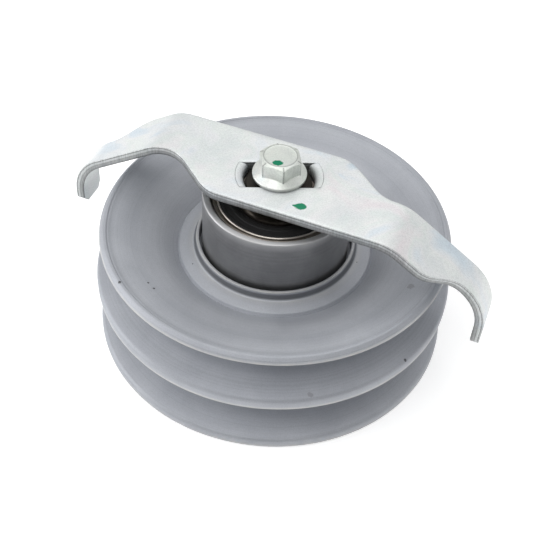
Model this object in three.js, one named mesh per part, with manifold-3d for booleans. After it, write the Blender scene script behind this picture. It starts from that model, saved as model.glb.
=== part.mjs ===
// Double V-groove idler pulley on a ball-bearing spindle, with a bolted sheet-steel belt keeper.
// Millimetres, +Z up along the spindle, +X along the keeper. The pulley's bottom flange lies on z = 0.
import * as THREE from 'three';
import { mergeVertices } from 'three/addons/utils/BufferGeometryUtils.js';
import Module from 'manifold-3d';

const wasm = await Module();
wasm.setup();

// ---- Driving dimensions ----

// Pulley rim: two V grooves between three flanges, listed from the bottom up.
const rimRadius = 64;
const topEdgeStep = 2;
const bottomBand = 3.2;
const lowerMouth = 18.7;
const middleBand = 3.9;
const upperMouth = 16.6;
const grooveDepth = 13.5;
const grooveHalfAngle = THREE.MathUtils.degToRad(19);
const edgeChamfer = 0.4;

// Pulley top face: a lip, a dish, a raised annulus and a collar round the bearing housing.
const lipWidth = 2.6;
const lipRise = 2.1;
const lipCrown = 0.4;
const lipStep = 0.9;
const dishBow = 2.6;
const annulusWidth = 4.7;
const annulusDrop = 6.7;
const annulusStep = 1.9;
const annulusBatter = 0.5;
const collarFoot = 2.1;
const collarWidth = 0.7;
const collarRise = 3.1;
const collarFootRise = 1;
const collarGap = 1.2;
const collarGapDepth = 5.8;

// Pulley underside: a hub boss, a web and a hollow behind the rim.
const hubWall = 6;
const hubFoot = 3;
const webThickness = 8;
const rimWall = 7.5;
const rimTaper = 1.5;
const hollowFillet = 3;

// Bearing housing: the steel tube that is pressed into the pulley.
const housingRise = 16.6;
const housingWall = 2.5;
const housingFoot = 4;
const housingChamfer = 0.5;

// Ball bearings, a standard metric size: 20 bore, 47 outside, 14 wide.
const bearingBore = 20;
const bearingOutside = 47;
const bearingWidth = 14;
const ballDiameter = 7.94;
const ballCount = 8;
const ringLand = 2.55;
const ringChamfer = 0.8;
const sealSeatStep = 1.3;
const sealRecess = 0.4;
const sealThickness = 0.9;
const cageWall = 3.1;
const cageHalfHeight = 4.9;
const bearingRecess = 1.3;
const lowerBearingFoot = 8.6;

// Internal retaining ring under the lower bearing.
const clipThickness = 1.75;
const clipWidth = 3.6;
const clipGrooveDepth = 1.25;
const clipEar = 3.2;
const clipEarHole = 2;
const clipEarInset = 1;
const clipOpening = THREE.MathUtils.degToRad(24);

// Spindle, its two tapped holes and the spacer on top of it.
const spindleCollarStep = 0.4;
const spindleFoot = 1;
const spindleShort = 0.4;
const tappedTopDepth = 26;
const mountThread = 12;
const mountThreadDepth = 22;
const mountCoreRadius = 5.1;
const spacerSeat = 1.3;
const spacerFootHeight = 3;

// Belt keeper: a flat plate that narrows to two sloping arms with hooked ends. The +X hook is the longer one.
const sheet = 3.2;
const keeperGap = 4.6;
const plateHalfWidth = 17.3;
const armInner = 3.4;
const hookOuter = 8.8;
const shoulderStart = 19.5;
const shoulderLength = 16.3;
const neckFromHook = 21.5;
const neckLength = 9.4;
const cornerEase = 5;
const neckEase = 3;
const bendFromRim = 24.5;
const bendRadius = 16;
const armSlope = THREE.MathUtils.degToRad(32.8);
const hookRadius = 20;
const beltRoom = 11.7;
const longHookDrop = 42.6;
const shortHookDrop = 39.8;
const tipInnerChamfer = [2.8, 3];
const tipOuterChamfer = [1.8, 2.8];

// The keeper's centre hole: a circle with two flats, its round ends rolled down.
const holeRadius = 12.2;
const holeHalfWidth = 6.3;
const holeTurn = THREE.MathUtils.degToRad(23.5);
const rollRadius = 3;
const rollDrop = 1.6;
const rollWall = 2.2;
const rollLap = 0.8;
const lanceGap = 0.3;

// Hexagon flange bolt.
const boltThread = 8;
const boltFlange = 18.4;
const boltFlangeRim = 1.5;
const boltAcrossFlats = 13;
const boltHeadHeight = 8.3;
const boltConeRise = 3.2;
const boltCrownRise = 2.3;
const boltCrownWidth = 0.4;
const boltLength = 30;
const boltTurn = THREE.MathUtils.degToRad(30);
const boltTopLand = 0.8;
const boltTopDish = 0.2;

// Clearances.
const pressClearance = 0.02;
const boreClearance = 0.03;
const threadClearance = 0.15;
const raceClearance = 0.3;
const pocketClearance = 0.3;
const sealLipClearance = 0.4;
const clipClearance = 0.05;
const boltHoleClearance = 0.35;
const rolledRimClearance = 0.9;

// Facets round a full turn. Each count divides the one above, so that nested rings line up.
const rimFacets = 48;
const ringFacets = 24;
const boltFacets = 12;

// ---- Levels worked out from the sizes above ----

const lowerMouthBottom = bottomBand;
const middleBandBottom = lowerMouthBottom + lowerMouth;
const middleBandTop = middleBandBottom + middleBand;
const topEdge = middleBandTop + upperMouth;
const topEdgeRadius = rimRadius - topEdgeStep;
const annulusTop = topEdge - annulusDrop;
const housingTop = topEdge + housingRise;
const housingBore = bearingOutside / 2 + pressClearance;
const housingRadius = housingBore + housingWall;
const hubBore = housingRadius + pressClearance;
const collarInner = housingRadius + collarGap;
const annulusInner = collarInner + collarFoot;
const annulusOuter = annulusInner + annulusWidth;
const upperBearingFoot = housingTop - bearingRecess - bearingWidth;
const upperBearingTop = upperBearingFoot + bearingWidth;
const lowerBearingTop = lowerBearingFoot + bearingWidth;
const plateUnder = housingTop + keeperGap;
const plateTop = plateUnder + sheet;
const ballRadius = ballDiameter / 2;
const ballOrbit = (bearingBore + bearingOutside) / 4;
const outerLand = ballOrbit + ringLand;
const innerLand = ballOrbit - ringLand;
const sealSeatRadius = outerLand + sealSeatStep;
const spindleCollarRadius = innerLand - spindleCollarStep;
const spacerFootRadius = bearingBore / 2 + spacerSeat;
const topSpacerRadius = holeRadius - rolledRimClearance;
const keeperHalfLength = rimRadius + beltRoom + sheet;
const bendStart = rimRadius - bendFromRim;

// ---- Materials ----

function finish(color, roughness, metalness) {
  return new THREE.MeshStandardMaterial({ color, roughness, metalness });
}

const castingGrey = finish(0xa7abb4, 0.6, 0.55);
const housingSteel = finish(0x6d6e72, 0.45, 0.8);
const bearingSteel = finish(0x9a9690, 0.3, 0.9);
const ballSteel = finish(0xc4c6c9, 0.1, 1);
const cageNylon = finish(0x2c2a27, 0.6, 0);
const sealRubber = finish(0x141416, 0.7, 0);
const springSteel = finish(0x3c3a38, 0.5, 0.8);
const turnedSteel = finish(0x8d9096, 0.4, 0.85);
const zincSheet = finish(0xdfe3e3, 0.38, 0.7);
const zincBolt = finish(0xdcdcd4, 0.3, 0.8);

// ---- Shape helpers ----

function toSolid(geometry) {
  const bare = geometry.index ? geometry : mergeVertices(geometry);
  bare.deleteAttribute('normal');
  bare.deleteAttribute('uv');
  const merged = mergeVertices(bare, 1e-5);
  const mesh = new wasm.Mesh({
    numProp: 3,
    vertProperties: new Float32Array(merged.attributes.position.array),
    triVerts: new Uint32Array(merged.index.array),
  });
  return new wasm.Manifold(mesh);
}

function toGeometry(solid) {
  const { vertProperties, triVerts } = solid.getMesh();
  const geometry = new THREE.BufferGeometry();
  geometry.setAttribute('position', new THREE.BufferAttribute(vertProperties, 3));
  geometry.setIndex(new THREE.BufferAttribute(triVerts, 1));
  geometry.computeVertexNormals();
  return geometry;
}

// Turns a closed [radius, height] outline about the Z axis.
function turned(outline, facets) {
  const points = outline.map(([r, z]) => new THREE.Vector2(r, z));
  if (THREE.ShapeUtils.area(points) < 0) points.reverse();
  points.push(points[0].clone());
  return toSolid(new THREE.LatheGeometry(points, facets).rotateX(Math.PI / 2));
}

// Points of an arc about [x, y], both ends included.
function arc(x, y, radius, from, to, steps) {
  return Array.from({ length: steps + 1 }, (_, i) => {
    const angle = from + ((to - from) * i) / steps;
    return [x + radius * Math.cos(angle), y + radius * Math.sin(angle)];
  });
}

function shapeOf(points) {
  return new THREE.Shape(points.map(([x, y]) => new THREE.Vector2(x, y)));
}

// Extrudes an outline in X and Y upwards from z = low to z = high.
function raised(shape, low, high) {
  const geometry = new THREE.ExtrudeGeometry(shape, { depth: high - low, bevelEnabled: false, curveSegments: 12 });
  return toSolid(geometry.translate(0, 0, low));
}

// Extrudes an outline in X and Z along Y, half to each side.
function crossed(shape, halfWidth) {
  const geometry = new THREE.ExtrudeGeometry(shape, { depth: 2 * halfWidth, bevelEnabled: false });
  return toSolid(geometry.translate(0, 0, -halfWidth).rotateX(Math.PI / 2));
}

function turnedAboutZ(solid, angle) {
  return solid.rotate([0, 0, THREE.MathUtils.radToDeg(angle)]);
}

// Joins points with straight lines and eases each corner that has a third number, its tangent length.
function easedOutline(corners) {
  const shape = new THREE.Shape();
  corners.forEach(([x, y, ease = 0], i) => {
    const corner = new THREE.Vector2(x, y);
    const before = new THREE.Vector2(...corners[(i + corners.length - 1) % corners.length]);
    const after = new THREE.Vector2(...corners[(i + 1) % corners.length]);
    const start = corner.clone().add(before.sub(corner).setLength(ease));
    const end = corner.clone().add(after.sub(corner).setLength(ease));
    if (i === 0) shape.moveTo(start.x, start.y);
    else shape.lineTo(start.x, start.y);
    if (ease > 0) shape.quadraticCurveTo(x, y, end.x, end.y);
  });
  shape.closePath();
  return shape;
}

const part = new THREE.Group();

function place(name, solid, material, x = 0, y = 0, z = 0) {
  const mesh = new THREE.Mesh(toGeometry(solid), material);
  mesh.name = name;
  mesh.position.set(x, y, z);
  part.add(mesh);
}

// ---- Pulley casting ----

// One V groove, from its lower mouth corner inwards and back out to its upper corner.
function groove(lowRadius, lowHeight, highRadius, highHeight) {
  const root = rimRadius - grooveDepth;
  const slope = Math.tan(grooveHalfAngle);
  return [
    [lowRadius, lowHeight],
    [root, lowHeight + (lowRadius - root) * slope],
    [root, highHeight - (highRadius - root) * slope],
    [highRadius, highHeight],
  ];
}

// The dish from the lip's step down to the annulus, as a shallow curve.
function dish(startRadius, startHeight, endRadius, endHeight) {
  const middle = new THREE.Vector2((startRadius + endRadius) / 2, (startHeight + endHeight) / 2 + dishBow);
  const start = new THREE.Vector2(startRadius, startHeight);
  const curve = new THREE.QuadraticBezierCurve(start, middle, new THREE.Vector2(endRadius, endHeight));
  return curve.getPoints(6).map((point) => [point.x, point.y]);
}

function pulleyOutline() {
  const lipInner = topEdgeRadius - lipWidth;
  const dishFoot = annulusTop - annulusStep;
  const webUnder = dishFoot - webThickness;
  const hollowOuter = rimRadius - grooveDepth - rimWall;
  const hubOuter = hubBore + hubWall;
  return [
    [hollowOuter + rimTaper, 0],
    [rimRadius - edgeChamfer, 0],
    [rimRadius, edgeChamfer],
    ...groove(rimRadius, lowerMouthBottom, rimRadius, middleBandBottom),
    ...groove(rimRadius, middleBandTop, topEdgeRadius, topEdge),
    [lipInner + lipWidth / 2, topEdge + lipRise - lipCrown],
    [lipInner, topEdge + lipRise],
    ...dish(lipInner - lipStep / 2, topEdge + lipRise - lipStep, annulusOuter + annulusBatter, dishFoot),
    [annulusOuter, annulusTop],
    [annulusInner, annulusTop],
    [annulusInner - collarWidth, annulusTop + collarFootRise],
    [collarInner + collarWidth, annulusTop + collarRise],
    [collarInner, annulusTop + collarRise],
    [collarInner, annulusTop + collarRise - collarGapDepth],
    [hubBore, annulusTop + collarRise - collarGapDepth],
    [hubBore, hubFoot],
    [hubOuter, hubFoot],
    [hubOuter, webUnder - hollowFillet],
    [hubOuter + hollowFillet, webUnder],
    [hollowOuter - hollowFillet, webUnder],
    [hollowOuter, webUnder - hollowFillet],
  ];
}

place('pulley_body', turned(pulleyOutline(), rimFacets), castingGrey);

// ---- Bearing housing ----

function housingOutline() {
  const stopBore = outerLand;
  const clipTop = lowerBearingFoot + clipClearance;
  const clipFoot = lowerBearingFoot - clipThickness - clipClearance;
  return [
    [housingRadius - housingChamfer, housingFoot],
    [housingRadius, housingFoot + housingChamfer],
    [housingRadius, housingTop - housingChamfer],
    [housingRadius - housingChamfer, housingTop],
    [housingBore + housingChamfer, housingTop],
    [housingBore, housingTop - housingChamfer],
    [housingBore, upperBearingFoot],
    [stopBore, upperBearingFoot],
    [stopBore, lowerBearingTop],
    [housingBore, lowerBearingTop],
    [housingBore, clipTop],
    [housingBore + clipGrooveDepth, clipTop],
    [housingBore + clipGrooveDepth, clipFoot],
    [housingBore, clipFoot],
    [housingBore, housingFoot],
  ];
}

place('bearing_housing', turned(housingOutline(), rimFacets), housingSteel);

// ---- Ball bearings ----

// A raceway: the arc cut into a ring's land at mid width. side is +1 on the outer ring, -1 on the inner.
function raceway(side) {
  const radius = ballRadius + raceClearance;
  const half = Math.acos(ringLand / radius);
  const middle = side > 0 ? 0 : Math.PI;
  return arc(ballOrbit, 0, radius, middle - half, middle + half, 5);
}

function outerRingOutline() {
  const half = bearingWidth / 2;
  const seat = half - sealRecess - sealThickness;
  const outside = bearingOutside / 2;
  return [
    [sealSeatRadius, -half],
    [outside - ringChamfer, -half],
    [outside, ringChamfer - half],
    [outside, half - ringChamfer],
    [outside - ringChamfer, half],
    [sealSeatRadius, half],
    [sealSeatRadius, seat],
    [outerLand, seat],
    ...raceway(1).reverse(),
    [outerLand, -seat],
    [sealSeatRadius, -seat],
  ];
}

function innerRingOutline() {
  const half = bearingWidth / 2;
  const bore = bearingBore / 2;
  return [
    [bore, half - ringChamfer],
    [bore, ringChamfer - half],
    [bore + ringChamfer, -half],
    [innerLand, -half],
    ...raceway(-1).reverse(),
    [innerLand, half],
    [bore + ringChamfer, half],
  ];
}

function sealOutline() {
  const low = bearingWidth / 2 - sealRecess - sealThickness;
  const inner = innerLand + sealLipClearance;
  return [
    [inner, low],
    [sealSeatRadius - pressClearance, low],
    [sealSeatRadius - pressClearance, low + sealThickness],
    [inner, low + sealThickness],
  ];
}

function ballCage() {
  const inner = ballOrbit - cageWall / 2;
  const outer = ballOrbit + cageWall / 2;
  const outline = [[inner, -cageHalfHeight], [outer, -cageHalfHeight], [outer, cageHalfHeight], [inner, cageHalfHeight]];
  const pocketRadius = ballRadius + pocketClearance;
  const pocket = new THREE.CylinderGeometry(pocketRadius, pocketRadius, 2 * cageWall, boltFacets);
  const cutter = toSolid(pocket.rotateZ(Math.PI / 2).translate(ballOrbit, 0, 0));
  let cage = turned(outline, ringFacets);
  for (let i = 0; i < ballCount; i += 1) {
    cage = cage.subtract(turnedAboutZ(cutter, (2 * Math.PI * i) / ballCount));
  }
  return cage;
}

function addBearing(label, foot) {
  const middle = foot + bearingWidth / 2;
  const seal = turned(sealOutline(), ringFacets);
  const ball = toSolid(new THREE.SphereGeometry(ballRadius, 8, 6).rotateX(Math.PI / 2));
  place(`${label}_outer_ring`, turned(outerRingOutline(), ringFacets), bearingSteel, 0, 0, middle);
  place(`${label}_inner_ring`, turned(innerRingOutline(), ringFacets), bearingSteel, 0, 0, middle);
  place(`${label}_ball_cage`, ballCage(), cageNylon, 0, 0, middle);
  place(`${label}_seal_top`, seal, sealRubber, 0, 0, middle);
  place(`${label}_seal_bottom`, seal.rotate([180, 0, 0]), sealRubber, 0, 0, middle);
  for (let i = 0; i < ballCount; i += 1) {
    const angle = (2 * Math.PI * i) / ballCount;
    const x = ballOrbit * Math.cos(angle);
    const y = ballOrbit * Math.sin(angle);
    place(`${label}_ball_${i + 1}`, ball, ballSteel, x, y, middle);
  }
}

addBearing('upper_bearing', upperBearingFoot);
addBearing('lower_bearing', lowerBearingFoot);

// ---- Retaining ring ----

// A ring with an opening at +X, and an ear with a hole for pliers on each side of it.
function retainingRing() {
  const outer = housingBore + clipGrooveDepth - 2 * clipClearance;
  const inner = outer - clipWidth;
  const low = lowerBearingFoot - clipThickness;
  const half = clipOpening / 2;
  const shape = new THREE.Shape();
  shape.absarc(0, 0, outer, half, 2 * Math.PI - half, false);
  shape.absarc(0, 0, inner, 2 * Math.PI - half, half, true);
  const geometry = new THREE.ExtrudeGeometry(shape, { depth: clipThickness, bevelEnabled: false, curveSegments: 22 });
  let ring = toSolid(geometry.translate(0, 0, low));
  for (const side of [1, -1]) {
    const angle = side * (half + clipEar / outer);
    const reach = outer - clipEar;
    const x = reach * Math.cos(angle);
    const y = reach * Math.sin(angle);
    const ear = new THREE.CylinderGeometry(clipEar, clipEar, clipThickness, boltFacets);
    const hole = new THREE.CylinderGeometry(clipEarHole / 2, clipEarHole / 2, 2 * clipThickness, boltFacets);
    const middle = low + clipThickness / 2;
    ring = ring.add(toSolid(ear.rotateX(Math.PI / 2).translate(x, y, middle)));
    ring = ring.subtract(toSolid(hole.rotateX(Math.PI / 2).translate(x - clipEarInset, y, middle)));
  }
  return ring;
}

place('retaining_ring', retainingRing(), springSteel);

// ---- Spindle stack ----

function spindleOutline() {
  const journal = bearingBore / 2 - boreClearance;
  const top = upperBearingTop - spindleShort;
  const tapRadius = boltThread / 2 + threadClearance;
  const tapFoot = top - tappedTopDepth;
  const mountTop = spindleFoot + mountThreadDepth;
  return [
    [0, mountTop + mountCoreRadius / 2],
    [mountCoreRadius, mountTop],
    [mountCoreRadius, spindleFoot + (mountThread / 2 - mountCoreRadius)],
    [mountThread / 2, spindleFoot],
    [spindleCollarRadius - edgeChamfer, spindleFoot],
    [spindleCollarRadius, spindleFoot + edgeChamfer],
    [spindleCollarRadius, lowerBearingFoot],
    [journal, lowerBearingFoot],
    [journal, top - edgeChamfer],
    [journal - edgeChamfer, top],
    [tapRadius, top],
    [tapRadius, tapFoot],
    [0, tapFoot - tapRadius / 2],
  ];
}

// Turns an open outline that starts and ends on the axis.
function turnedOnAxis(outline, facets) {
  const points = outline.map(([r, z]) => new THREE.Vector2(r, z));
  return toSolid(new THREE.LatheGeometry(points, facets).rotateX(Math.PI / 2));
}

function sleeve(inner, outer, low, high) {
  return turned([[inner, low], [outer, low], [outer, high], [inner, high]], ringFacets);
}

const spacerBore = bearingBore / 2 + boreClearance;
const boltHole = boltThread / 2 + boltHoleClearance;
place('spindle', turnedOnAxis(spindleOutline(), ringFacets), turnedSteel);
place('inner_spacer', sleeve(spacerBore, innerLand, lowerBearingTop, upperBearingFoot), turnedSteel);

// The top spacer: a foot that seats on the inner ring, and a neck that passes inside the keeper's rolled rim.
function topSpacer() {
  const shoulder = upperBearingTop + spacerFootHeight;
  const foot = sleeve(boltHole, spacerFootRadius, upperBearingTop, shoulder);
  return foot.add(sleeve(boltHole, topSpacerRadius, shoulder, plateUnder));
}

place('top_spacer', topSpacer(), turnedSteel);

// ---- Belt keeper ----

// One half of the keeper's section in X and Z: flat, bent down, then hooked.
function keeperEdge(inset, drop) {
  const hookCentreX = keeperHalfLength - hookRadius;
  const bendCentre = plateTop - bendRadius;
  const fromX = bendStart + bendRadius * Math.sin(armSlope);
  const fromZ = bendCentre + bendRadius * Math.cos(armSlope);
  const toX = hookCentreX + hookRadius * Math.sin(armSlope);
  const toZ = fromZ - (toX - fromX) * Math.tan(armSlope);
  const hookCentreZ = toZ - hookRadius * Math.cos(armSlope);
  const upright = Math.PI / 2;
  return [
    ...arc(bendStart, bendCentre, bendRadius - inset, upright, upright - armSlope, 3),
    ...arc(hookCentreX, hookCentreZ, hookRadius - inset, upright - armSlope, 0, 6),
    [keeperHalfLength - inset, plateTop - drop],
  ];
}

function keeperSection() {
  const half = (drop) => [...keeperEdge(0, drop), ...keeperEdge(sheet, drop).reverse()];
  const other = half(shortHookDrop).map(([x, z]) => [-x, z]).reverse();
  return shapeOf([...half(longHookDrop), ...other]);
}

// The keeper seen from above. Its second half is the first, turned half a turn about the bolt.
function keeperPlan() {
  const end = keeperHalfLength + sheet;
  const shoulderEnd = shoulderStart + shoulderLength;
  const neckStart = keeperHalfLength - neckFromHook;
  const half = [
    [shoulderStart, plateHalfWidth, cornerEase],
    [shoulderEnd, armInner, cornerEase],
    [end, armInner],
    [end, -hookOuter],
    [neckStart + neckLength, -hookOuter, cornerEase],
    [neckStart, -plateHalfWidth, neckEase],
  ];
  return easedOutline([...half, ...half.map(([x, y, ease]) => [-x, -y, ease])]);
}

// The two corners cut off the tip of the +X hook, as prisms along X.
function tipCutters(drop) {
  const tip = plateTop - drop;
  const from = keeperHalfLength - hookRadius / 2;
  const corners = [[armInner, -1, tipInnerChamfer], [-hookOuter, 1, tipOuterChamfer]];
  return corners.map(([edge, inwards, [wide, high]]) => {
    const beyond = sheet * inwards;
    const shape = shapeOf([
      [edge - beyond, tip - sheet],
      [edge + inwards * wide + (beyond * wide) / high, tip - sheet],
      [edge - beyond, tip + high + (sheet * high) / wide],
    ]);
    const length = keeperHalfLength + sheet - from;
    const prism = new THREE.ExtrudeGeometry(shape, { depth: length, bevelEnabled: false });
    return toSolid(prism.rotateX(Math.PI / 2).rotateZ(Math.PI / 2).translate(from, 0, 0));
  });
}

// A strip across the centre of the keeper, as wide as the centre hole, less an inset on each side.
function holeStrip(inset) {
  const halfWidth = holeHalfWidth - inset;
  const reach = 2 * (holeRadius + rollRadius);
  const strip = shapeOf([[-reach, -halfWidth], [reach, -halfWidth], [reach, halfWidth], [-reach, halfWidth]]);
  return turnedAboutZ(raised(strip, plateUnder - 2 * sheet, plateTop + sheet), holeTurn);
}

// The rolled-down rim of the centre hole, before it is trimmed to its two ends.
function rolledRim() {
  const rootRadius = holeRadius + rollRadius;
  const foot = plateUnder - rollDrop;
  return turned([
    ...arc(rootRadius, plateTop - rollRadius, rollRadius, Math.PI / 2, Math.PI, 4),
    [holeRadius, foot],
    [holeRadius + rollWall, foot],
    [rootRadius + rollLap, plateUnder],
    [rootRadius + rollLap, plateTop],
  ], rimFacets);
}

function beltKeeper() {
  const blank = crossed(keeperSection(), 2 * plateHalfWidth);
  const plan = raised(keeperPlan(), plateTop - longHookDrop - sheet, plateTop + sheet);
  const rootRadius = holeRadius + rollRadius;
  const circle = [[0, plateUnder - sheet], [rootRadius, plateUnder - sheet], [rootRadius, plateTop + sheet], [0, plateTop + sheet]];
  const hole = turnedOnAxis(circle, rimFacets).intersect(holeStrip(0));
  let keeper = blank.intersect(plan).subtract(hole).add(rolledRim().intersect(holeStrip(lanceGap)));
  for (const cutter of tipCutters(longHookDrop)) keeper = keeper.subtract(cutter);
  for (const cutter of tipCutters(shortHookDrop)) keeper = keeper.subtract(turnedAboutZ(cutter, Math.PI));
  return keeper;
}

place('belt_keeper', beltKeeper(), zincSheet);

// ---- Flange bolt ----

function flangeBolt() {
  const flangeRadius = boltFlange / 2;
  const hexRadius = boltAcrossFlats / Math.sqrt(3);
  const top = plateTop + boltHeadHeight;
  const coneTop = plateTop + boltConeRise;
  const shank = boltThread / 2;
  const skirt = turnedOnAxis([
    [0, plateTop + edgeChamfer],
    [shank, plateTop],
    [flangeRadius - edgeChamfer, plateTop],
    [flangeRadius, plateTop + edgeChamfer],
    [flangeRadius, plateTop + boltFlangeRim - edgeChamfer],
    [flangeRadius - edgeChamfer, plateTop + boltFlangeRim],
    [boltAcrossFlats / 2, coneTop],
    [0, coneTop],
  ], ringFacets);
  const prism = new THREE.CylinderGeometry(hexRadius, hexRadius, boltHeadHeight - edgeChamfer, 6);
  const hex = toSolid(prism.rotateX(Math.PI / 2).translate(0, 0, plateTop + (boltHeadHeight + edgeChamfer) / 2));
  const crownRadius = boltAcrossFlats / 2 - boltCrownWidth;
  const crown = turnedOnAxis([
    [0, plateTop],
    [flangeRadius, plateTop],
    [flangeRadius, top - boltCrownRise],
    [crownRadius, top],
    [crownRadius - boltTopLand, top],
    [crownRadius - 2 * boltTopLand, top - boltTopDish],
    [0, top - boltTopDish],
  ], ringFacets);
  const rod = turnedOnAxis([
    [0, plateTop - boltLength],
    [shank - 2 * edgeChamfer, plateTop - boltLength],
    [shank, plateTop - boltLength + 2 * edgeChamfer],
    [shank, plateTop + sheet / 4],
    [0, plateTop + sheet / 4],
  ], boltFacets);
  return turnedAboutZ(hex.intersect(crown).add(skirt), boltTurn).add(rod);
}

place('flange_bolt', flangeBolt(), zincBolt);

export default part;
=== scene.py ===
import bmesh, bpy, math
import numpy as np
from mathutils import Matrix, Vector


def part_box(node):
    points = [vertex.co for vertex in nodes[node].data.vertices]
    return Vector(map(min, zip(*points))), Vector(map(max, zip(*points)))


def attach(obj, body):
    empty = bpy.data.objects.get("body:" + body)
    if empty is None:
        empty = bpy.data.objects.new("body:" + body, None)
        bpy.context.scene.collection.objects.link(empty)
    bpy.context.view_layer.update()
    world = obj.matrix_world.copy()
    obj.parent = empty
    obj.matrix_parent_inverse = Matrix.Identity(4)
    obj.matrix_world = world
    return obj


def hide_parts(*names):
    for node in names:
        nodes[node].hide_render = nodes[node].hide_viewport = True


# Double V-groove idler with a zinc-plated belt keeper. Metres in the file, millimetres in the settings.

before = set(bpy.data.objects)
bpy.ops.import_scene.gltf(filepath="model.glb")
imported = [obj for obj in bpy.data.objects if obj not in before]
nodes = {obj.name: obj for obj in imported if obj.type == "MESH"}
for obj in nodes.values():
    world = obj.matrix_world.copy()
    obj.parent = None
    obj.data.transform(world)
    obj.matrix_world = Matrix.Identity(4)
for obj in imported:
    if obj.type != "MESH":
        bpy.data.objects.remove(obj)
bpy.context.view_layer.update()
mm = 0.001
print("frame loaded:", len(nodes), "nodes")


def top(node):
    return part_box(node)[1][2] / mm


def foot(node):
    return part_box(node)[0][2] / mm


def reach(node):
    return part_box(node)[1][0] / mm


# Puts a point array and a face array into a mesh object that rides on a body and takes a node's place.
def addPiece(name, points, faces, material, body, stands=(), edge=None, slot=None, sharp=40):
    mesh = bpy.data.meshes.new(name)
    faceList = faces if isinstance(faces, list) else faces.tolist()
    mesh.from_pydata((np.asarray(points) * mm).tolist(), [], faceList)
    if edge is not None:
        mesh.attributes.new("edge", "FLOAT", "POINT").data.foreach_set("value", np.asarray(edge, float))
    mesh.validate()
    mesh.update()
    mesh.polygons.foreach_set("use_smooth", np.ones(len(mesh.polygons), bool))
    mesh.set_sharp_from_angle(angle=math.radians(sharp))
    mesh.materials.append(material)
    piece = bpy.data.objects.new(name, mesh)
    bpy.context.collection.objects.link(piece)
    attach(piece, body)
    if stands:
        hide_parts(*stands)
    return piece


# Quads of a grid with rows x columns points, either way closed into a loop if asked.
def gridFaces(rows, columns, wrapRows=False, wrapColumns=False, start=0):
    i = np.arange(rows if wrapRows else rows - 1)
    j = np.arange(columns if wrapColumns else columns - 1)
    i, j = np.meshgrid(i, j, indexing="ij")
    a = i * columns + j
    b = ((i + 1) % rows) * columns + j
    c = ((i + 1) % rows) * columns + (j + 1) % columns
    d = i * columns + (j + 1) % columns
    return np.stack([a, b, c, d], -1).reshape(-1, 4) + start


# Rounds the corners of a closed (radius, height) outline. Each corner is (r, z, fillet radius, edge light).
# Returns the points and each one's painted edge light: a painted highlight, 0 to 1, or painted shade, 0 to
# -1.
def roundedOutline(corners, steps=4):
    count = len(corners)
    r, z = np.array([corner[:2] for corner in corners]).T
    if (r * np.roll(z, -1) - np.roll(r, -1) * z).sum() < 0:
        corners = corners[::-1]
    points, edges = [], []
    for i, (r, z, fillet, *paintedLight) in enumerate(corners):
        edgeLight = paintedLight[0] if paintedLight else 0
        here = np.array([r, z], float)
        back = np.array(corners[i - 1][:2], float) - here
        on = np.array(corners[(i + 1) % count][:2], float) - here
        lenBack, lenOn = np.linalg.norm(back), np.linalg.norm(on)
        back, on = back / lenBack, on / lenOn
        half = math.acos(np.clip(back @ on, -1, 1)) / 2
        reachOut = min(fillet / max(math.tan(half), 1e-6), 0.48 * lenBack, 0.48 * lenOn)
        if fillet <= 0 or half > math.pi / 2 - 0.01:
            points.append(here)
            edges.append(edgeLight)
            continue
        t = np.linspace(0, 1, steps + 1)[:, None]
        start, end = here + back * reachOut, here + on * reachOut
        weight = math.sin(half)
        blend = (1 - t) ** 2 * start + 2 * weight * t * (1 - t) * here + t ** 2 * end
        points.extend(blend / ((1 - t) ** 2 + 2 * weight * t * (1 - t) + t ** 2))
        edges.extend([edgeLight] * (steps + 1))
    return np.array(points), np.array(edges)


# Splits long stretches of an outline so that no step is longer than `limit`.
def refine(points, edges, limit):
    newPoints, newEdges = [], []
    for i in range(len(points)):
        a, b = points[i], points[(i + 1) % len(points)]
        parts = max(1, int(math.ceil(np.linalg.norm(b - a) / limit)))
        t = np.arange(parts)[:, None] / parts
        newPoints.append(a + (b - a) * t)
        newEdges.append(np.concatenate([[edges[i]], np.zeros(parts - 1)]))
    return np.concatenate(newPoints), np.concatenate(newEdges)


# A closed outline turned about the Z axis: (r, z) goes round to (r cos a, r sin a, z).
def turnedPiece(name, corners, material, body, segments=160, limit=4, steps=4, **rest):
    outline, edges = roundedOutline(corners, steps)
    outline, edges = refine(outline, edges, limit)
    angle = np.linspace(0, 2 * math.pi, segments, endpoint=False)
    r, z = outline[:, 0][:, None], outline[:, 1][:, None]
    points = np.stack([r * np.cos(angle), r * np.sin(angle), z + 0 * angle], -1).reshape(-1, 3)
    faces = gridFaces(len(outline), segments, True, True)[:, ::-1]
    return addPiece(name, points, faces, material, body, edge=np.repeat(edges, segments), **rest)


def fromHex(code):
    parts = [int(code[i:i + 2], 16) / 255 for i in (1, 3, 5)]
    return tuple(v / 12.92 if v <= 0.04045 else ((v + 0.055) / 1.055) ** 2.4 for v in parts) + (1,)


def newMaterial(name):
    material = bpy.data.materials.new(name)
    material.use_nodes = True
    material.node_tree.nodes.clear()
    return material, material.node_tree


# Adds a shader node and hands back one of its outputs. An input is a number, a hex colour or another node's
# output; `stops` are a colour ramp's places and tones; the rest are the node's own settings.
def addNode(tree, kind, inputs=None, out=0, stops=(), **settings):
    node = tree.nodes.new("ShaderNode" + kind)
    for key, value in settings.items():
        setattr(node, key, value)
    for key, value in (inputs or {}).items():
        if isinstance(value, bpy.types.NodeSocket):
            tree.links.new(value, node.inputs[key])
        else:
            node.inputs[key].default_value = fromHex(value) if isinstance(value, str) else value
    for index, (position, tone) in enumerate(stops):
        elements = node.color_ramp.elements
        element = elements[index] if index < 2 else elements.new(position)
        element.position = position
        element.color = fromHex(tone) if isinstance(tone, str) else (tone, tone, tone, 1)
    return node.outputs[out] if node.outputs else None


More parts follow.
